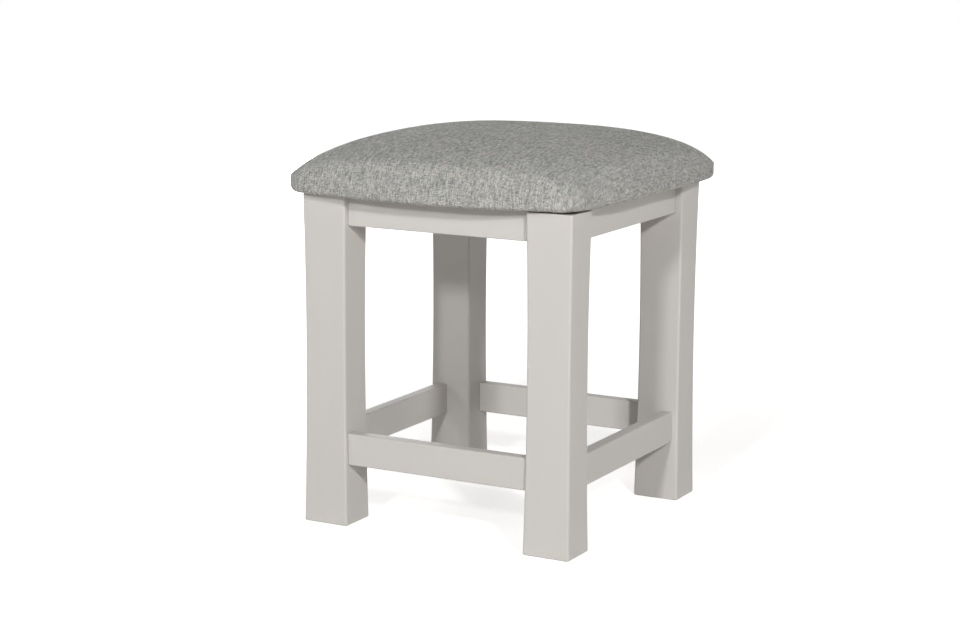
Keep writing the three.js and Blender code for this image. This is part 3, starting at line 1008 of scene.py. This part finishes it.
padShape = {
    "cells": 56,  # across the whole sheet, for the cloth
    "finer": 4,  # times as many on the finished pad
    "squareness": 16.5,
    "flatness": 2.85,
    "fullness": 2.72,
    "crown": 61.1 * millimetre,  # over the widest line
    "lowShare": 0.925,  # lowest line of the roll, as a share of the widest line
    "lowDrop": 10.3 * millimetre,
    "rollSquareness": 2.6,
    "foldShare": 0.871,  # edge of the flat underside
    "foldDrop": 8.6 * millimetre,
    "openingShare": 0.648,
    "pocketShare": 0.852,
    "clothThickness": 1.6 * millimetre,
    "rightLift": 2.8 * millimetre,
    "rightLiftWidth": 0.6,  # widths round the outline are in radians
    "shoulderRise": 3.8 * millimetre,  # the foam's edge shows as a soft shoulder
    "shoulderPlace": (0.928, 0.036),
    "waistDip": 3.0 * millimetre,  # and the cloth draws in below it, between the corners
    "waistPlace": (0.970, 0.022),
    "widestSink": 6.0 * millimetre,  # there the widest line also lies lower
    "sinkPlace": (1.0, 0.06),
    "rightTuck": 1.4,  # but not on the right, where the cloth turns under early
    "rightTuckWidth": 0.5,
    "crownSteps": 2000,  # points along half a section: crown, roll and underside
    "rollSteps": 200,
    "tuckSteps": 100,
    "crowding": 2.5,  # of the points towards the widest line
    "smoothAngle": 50,
    "cornerWidth": 0.3,
    "cornerLiftWidth": 0.4,
    "drawInPower": 4,
    "fillWidth": 0.45,
    "fillGain": 2.6,
    "fillPowers": (3, 6),
    "corners": {
        # drawn in, lifted and filled out, in millimetres
        "front_left": (6.7, 0.9, -0.8),
        "front_right": (14.3, 1.7, 0.0),
        "back_right": (4.5, 1.4, 2.3),
        "back_left": (6.3, 0.9, -2.1),
    },
}


cornerAngles = {corner: math.atan2(signY, signX) for corner, (signX, signY) in corners.items()}


def outlinePoint(angle):
    x, y = np.cos(angle), np.sin(angle)
    power = padShape["squareness"]
    length = (np.abs(x) ** power + np.abs(y) ** power) ** (-1 / power)
    return x * length, y * length


# 1 in one direction from the middle, fading to nothing at both sides of it
def nearness(angle, direction, width):
    turn = (angle - direction + math.pi) % (2 * math.pi) - math.pi
    return np.exp(-((turn / width) ** 2))


# 1 at one share of the outline, fading to nothing inside and outside it
def bell(share, place):
    middle, width = place
    return np.exp(-(((share - middle) / width) ** 2))


# Share of the outline, height over the widest line and lowness, evenly spaced along the cloth
def makeMeridian(half):
    inner = 1 - (1 - np.linspace(0, 1, padShape["crownSteps"])) ** padShape["crowding"]
    height = padShape["crown"] * (1 - inner ** padShape["flatness"]) ** (1 / padShape["fullness"])
    turn = np.linspace(0, math.pi / 2, padShape["rollSteps"])[1:]
    power = 2 / padShape["rollSquareness"]
    roll = padShape["lowShare"] + (1 - padShape["lowShare"]) * np.cos(turn) ** power
    tuck = np.linspace(0, 1, padShape["tuckSteps"])[1:]
    back = padShape["lowShare"] + (padShape["foldShare"] - padShape["lowShare"]) * tuck
    sinking, rising = np.sin(turn) ** power, (1 + np.cos(math.pi * tuck)) / 2
    lowness = np.concatenate([np.zeros(len(inner)), sinking, rising])
    sink = np.concatenate([bell(inner, padShape["sinkPlace"]), 1 - sinking, np.zeros(len(tuck))])
    share = np.concatenate([inner, roll, back])
    underside = -padShape["foldDrop"] - (padShape["lowDrop"] - padShape["foldDrop"]) * rising
    height = np.concatenate([height, -padShape["lowDrop"] * sinking, underside])
    step = np.hypot(np.diff(share) * half, np.diff(height))
    length = np.concatenate([[0], np.cumsum(step)])
    return share, height, lowness, sink, length / length[-1]


def padForm(flat, half, widest):
    ring = np.maximum(np.abs(flat[:, 0]), np.abs(flat[:, 1]))
    angle = np.arctan2(flat[:, 1], flat[:, 0])
    edgeX, edgeY = outlinePoint(angle)
    share, height, lowness, sink, along = makeMeridian(half)
    place = np.interp(ring, along, share)
    lift = np.interp(ring, along, height)
    low = np.interp(ring, along, lowness)
    u, v = np.abs(edgeX * place), np.abs(edgeY * place)
    fall = np.clip((1 - u ** padShape["flatness"]) * (1 - v ** padShape["flatness"]), 0, 1)
    z = np.where(lift >= 0, padShape["crown"] * fall ** (1 / padShape["fullness"]), lift)
    z += padShape["rightLift"] * nearness(angle, 0, padShape["rightLiftWidth"]) * low
    between = np.ones(len(ring))
    for direction in cornerAngles.values():
        between -= nearness(angle, direction, padShape["cornerWidth"])
    crownOnly = np.where(lift >= 0, 1.0, 0.0) * between
    offRight = 1 - padShape["rightTuck"] * nearness(angle, 0, padShape["rightTuckWidth"])
    z -= padShape["widestSink"] * np.interp(ring, along, sink) * between * offRight
    z += padShape["shoulderRise"] * bell(place, padShape["shoulderPlace"]) * crownOnly
    z -= padShape["waistDip"] * bell(place, padShape["waistPlace"]) * crownOnly
    inner, outer = padShape["fillPowers"]
    shoulder = np.where(lift >= 0, padShape["fillGain"] * place**inner * (1 - place**outer), 0)
    drawn = place ** padShape["drawInPower"]
    # each corner was pulled down a little differently
    size = np.full(len(ring), half)
    for corner, changes in padShape["corners"].items():
        drawIn, raised, filled = (change * millimetre for change in changes)
        direction = cornerAngles[corner]
        size -= drawIn * nearness(angle, direction, padShape["cornerWidth"]) * drawn
        z += raised * nearness(angle, direction, padShape["cornerLiftWidth"]) * low
        z += filled * nearness(angle, direction, padShape["fillWidth"]) * shoulder
    return np.stack([edgeX * place * size, edgeY * place * size, z + widest], axis=1), ring


def getPoints(piece):
    points = np.empty(len(piece.data.vertices) * 3)
    piece.data.vertices.foreach_get("co", points)
    return points.reshape(-1, 3)


def setPoints(piece, points):
    piece.data.vertices.foreach_set("co", points.ravel())
    piece.data.update()


def makePadSkin(cells):
    low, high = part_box("seat_cover")
    half = (high.x - low.x) / 2
    deselectAll()
    bpy.ops.mesh.primitive_grid_add(x_subdivisions=cells, y_subdivisions=cells, size=2)
    skin = bpy.context.object
    skin.name = "seatPad"
    form, ring = padForm(getPoints(skin), half, low.z + padShape["foldDrop"])
    setPoints(skin, form)
    return skin, form, ring


# A smooth curve through every row and column, with more points on it
def refine(values, times):
    for axis in (0, 1):
        values = np.moveaxis(values, axis, 0)
        before = 2 * values[:1] - values[1:2]
        after = 2 * values[-1:] - values[-2:-1]
        padded = np.concatenate([before, values, after])
        a, b, c, d = padded[:-3], padded[1:-2], padded[2:-1], padded[3:]
        rows = []
        for t in np.arange(times) / times:
            bend = 2 * a - 5 * b + 4 * c - d + t * (3 * (b - c) + d - a)
            rows.append(b + 0.5 * t * (c - a + t * bend))
        fine = np.stack(rows, axis=1).reshape(-1, *values.shape[1:])
        values = np.moveaxis(np.concatenate([fine, values[-1:]]), 0, axis)
    return values


clothRun = {
    "heldFrom": 0.965,  # of the way from the middle of the sheet to its edge
    "freeOver": 0.1,
    "startShrink": 1.5 * millimetre,
    "pressure": 4.0,
    "stiffness": 12,
    "bending": 2,
    "frames": 20,
    "furthest": 2.4 * millimetre,
}


# The cloth is held at its folded edge and blown up a little, and no point may go far
def inflatePad():
    cells = padShape["cells"]
    skin, form, ring = makePadSkin(cells)
    held = skin.vertex_groups.new(name="held")
    held.add([int(i) for i in np.nonzero(ring > clothRun["heldFrom"])[0]], 1.0, "REPLACE")
    away = form - np.array([0, 0, form[:, 2].min()])
    outwards = away / np.linalg.norm(away, axis=1)[:, None]
    free = np.clip((clothRun["heldFrom"] - ring) / clothRun["freeOver"], 0, 1)[:, None]
    setPoints(skin, form - outwards * clothRun["startShrink"] * free)
    cloth = skin.modifiers.new("cloth", "CLOTH")
    settings = cloth.settings
    settings.use_pressure = True
    settings.uniform_pressure_force = clothRun["pressure"]
    settings.vertex_group_mass = "held"
    settings.tension_stiffness = clothRun["stiffness"]
    settings.compression_stiffness = clothRun["stiffness"]
    settings.bending_stiffness = clothRun["bending"]
    settings.effector_weights.gravity = 0
    cloth.collision_settings.use_collision = False
    cloth.point_cache.frame_start = 1
    cloth.point_cache.frame_end = clothRun["frames"]
    for moment in range(clothRun["frames"]):
        scene.frame_set(moment + 1)
    makeActive(skin)
    bpy.ops.object.modifier_apply(modifier=cloth.name)
    scene.frame_set(1)
    move = getPoints(skin) - form
    discard(skin)
    furthest = np.linalg.norm(move, axis=1).max()
    print("cloth moved at most", round(float(furthest) / millimetre, 2), "mm")
    return (move * min(1, clothRun["furthest"] / furthest)).reshape(cells + 1, cells + 1, 3)


def addClothMap(skin, cells):
    count = cells + 1
    points = getPoints(skin).reshape(count, count, 3)
    alongX = np.linalg.norm(np.diff(points, axis=1), axis=2)
    alongY = np.linalg.norm(np.diff(points, axis=0), axis=2)
    u = np.concatenate([np.zeros((count, 1)), np.cumsum(alongX, axis=1)], axis=1)
    v = np.concatenate([np.zeros((1, count)), np.cumsum(alongY, axis=0)], axis=0)
    middle = cells // 2
    u -= u[:, middle : middle + 1]
    v -= v[middle : middle + 1, :]
    flat = np.stack([u.ravel(), v.ravel()], axis=1)
    skin.data.uv_layers.remove(skin.data.uv_layers[0])
    layer = skin.data.uv_layers.new(name="clothMap")
    vertOfLoop = np.empty(len(skin.data.loops), dtype=int)
    skin.data.loops.foreach_get("vertex_index", vertOfLoop)
    layer.data.foreach_set("uv", flat[vertOfLoop].ravel())


puckers = {
    "gatherWidth": 0.2,
    "gatherDepth": 0.5 * millimetre,
    "gatherCount": 170,  # waves in a whole turn, like the other counts
    "gatherDrift": 1.7,
    "gatherDriftCount": 23,
    "edgeDepth": 0.3 * millimetre,
    "edgeCount": 37,
    "edgeDrift": 2,
    "edgeDriftCount": 7,
    "edgeSwellCount": 11,
    "edgeSwellStart": 1,
    "clearOf": 175.0 * millimetre,  # over the legs the cloth lies on them
    "legGap": 0.4 * millimetre,
}


# The gathered cloth ripples at the roll, most of all round the corners
def addPuckers(skin):
    low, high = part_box("seat_cover")
    points = getPoints(skin)
    angle = np.arctan2(points[:, 1], points[:, 0])
    depth = (low.z + padShape["foldDrop"] - points[:, 2]) / padShape["lowDrop"]
    depth = np.clip(depth, 0, 1)
    width = puckers["gatherWidth"]
    gathers = sum(nearness(angle, direction, width) for direction in cornerAngles.values())
    drift = puckers["gatherDrift"] * np.sin(angle * puckers["gatherDriftCount"])
    ripple = np.sin(angle * puckers["gatherCount"] + drift)
    drift = puckers["edgeDrift"] * np.sin(angle * puckers["edgeDriftCount"])
    swell = np.sin(angle * puckers["edgeSwellCount"] + puckers["edgeSwellStart"])
    wave = np.sin(angle * puckers["edgeCount"] + drift) * swell
    points[:, 2] += depth * (puckers["gatherDepth"] * gathers * ripple + puckers["edgeDepth"] * wave)
    reach = np.maximum(np.abs(points[:, 0]), np.abs(points[:, 1]))
    rest = legHigh.z + puckers["legGap"]
    points[:, 2] = np.where(reach < puckers["clearOf"], np.maximum(points[:, 2], rest), points[:, 2])
    setPoints(skin, points)


# Below, the cloth turns in over the board; inside is the pocket that the board fills
def closePad(skin):
    editing(skin, "EDGE")
    bpy.ops.mesh.select_non_manifold(extend=False)
    rim = np.array([v.co for v in bmesh.from_edit_mesh(skin.data).verts if v.select])
    z = float(rim[:, 2].mean())
    opening = padShape["openingShare"] / padShape["foldShare"]
    pocket = padShape["pocketShare"] / padShape["openingShare"]
    for rise, size in ((0, opening), (padShape["clothThickness"], 1), (0, pocket)):
        bpy.ops.mesh.extrude_edges_move(TRANSFORM_OT_translate={"value": (0, 0, rise)})
        z += rise
        bpy.ops.transform.resize(value=(size, size, 0), center_override=(0, 0, z))
    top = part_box("seat_board")[1].z + jointShape["gap"]
    bpy.ops.mesh.extrude_edges_move(TRANSFORM_OT_translate={"value": (0, 0, top - z)})
    bpy.ops.mesh.edge_face_add()
    leaveEditing()


# The cloth's map goes on flat over what was closed below
def mapTurnedCloth(skin, sheetFaces):
    points = getPoints(skin)
    layer = skin.data.uv_layers["clothMap"]
    for face in skin.data.polygons[sheetFaces:]:
        for loop in face.loop_indices:
            layer.data[loop].uv = points[skin.data.loops[loop].vertex_index][:2]


def makeSeatPad():
    move = refine(inflatePad(), padShape["finer"]).reshape(-1, 3)
    cells = padShape["cells"] * padShape["finer"]
    skin, form, ring = makePadSkin(cells)
    settled = form + move
    # the finished pad keeps the width and the height that the form had
    base = np.array([0, 0, form[:, 2].min()])
    growth = (form.max(axis=0) - form.min(axis=0)) / (settled.max(axis=0) - settled.min(axis=0))
    setPoints(skin, base + (settled - base) * growth)
    addClothMap(skin, cells)
    addPuckers(skin)
    closePad(skin)
    mapTurnedCloth(skin, cells * cells)
    makeActive(skin)
    bpy.ops.object.shade_smooth_by_angle(angle=math.radians(padShape["smoothAngle"]))
    finishPiece(skin, greyLinen, "seat_fabric", "seat_cover", "seat_foam")


makeSeatPad()
print("seat pad made")


# Dust cloth: thin black lining stretched under the board

liningShape = {
    "cells": 60,
    "sag": 2.2 * millimetre,
    "ripple": 0.35 * millimetre,
    "rippleCounts": (31, 29),
    "rippleFade": 3,  # power
    "heldFrom": 0.93,
    "freeOver": 0.25,
    "thickness": 0.35 * millimetre,
}


def makeDustCloth():
    low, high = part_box("seat_dust_cloth")
    half = (high.x - low.x) / 2
    deselectAll()
    cells = liningShape["cells"]
    bpy.ops.mesh.primitive_grid_add(
        x_subdivisions=cells, y_subdivisions=cells, size=2 * half, location=(0, 0, (low.z + high.z) / 2)
    )
    lining = settle("dustCloth")
    points = getPoints(lining)
    x, y = points[:, 0] / half, points[:, 1] / half
    ring = np.maximum(np.abs(x), np.abs(y))
    free = np.clip((liningShape["heldFrom"] - ring) / liningShape["freeOver"], 0, 1)
    dome = (1 - x**2) * (1 - y**2)
    countX, countY = liningShape["rippleCounts"]
    fade = liningShape["rippleFade"]
    pull = np.cos(x * countX) * np.abs(y) ** fade + np.cos(y * countY) * np.abs(x) ** fade
    points[:, 2] -= free * (liningShape["sag"] * dome + liningShape["ripple"] * (pull + 1))
    setPoints(lining, points)
    applyModifier(lining, "SOLIDIFY", thickness=liningShape["thickness"], offset=0)
    bpy.ops.object.shade_smooth()
    finishPiece(lining, blackLining, "dust_cloth", "seat_dust_cloth")


makeDustCloth()
print("dust cloth made")
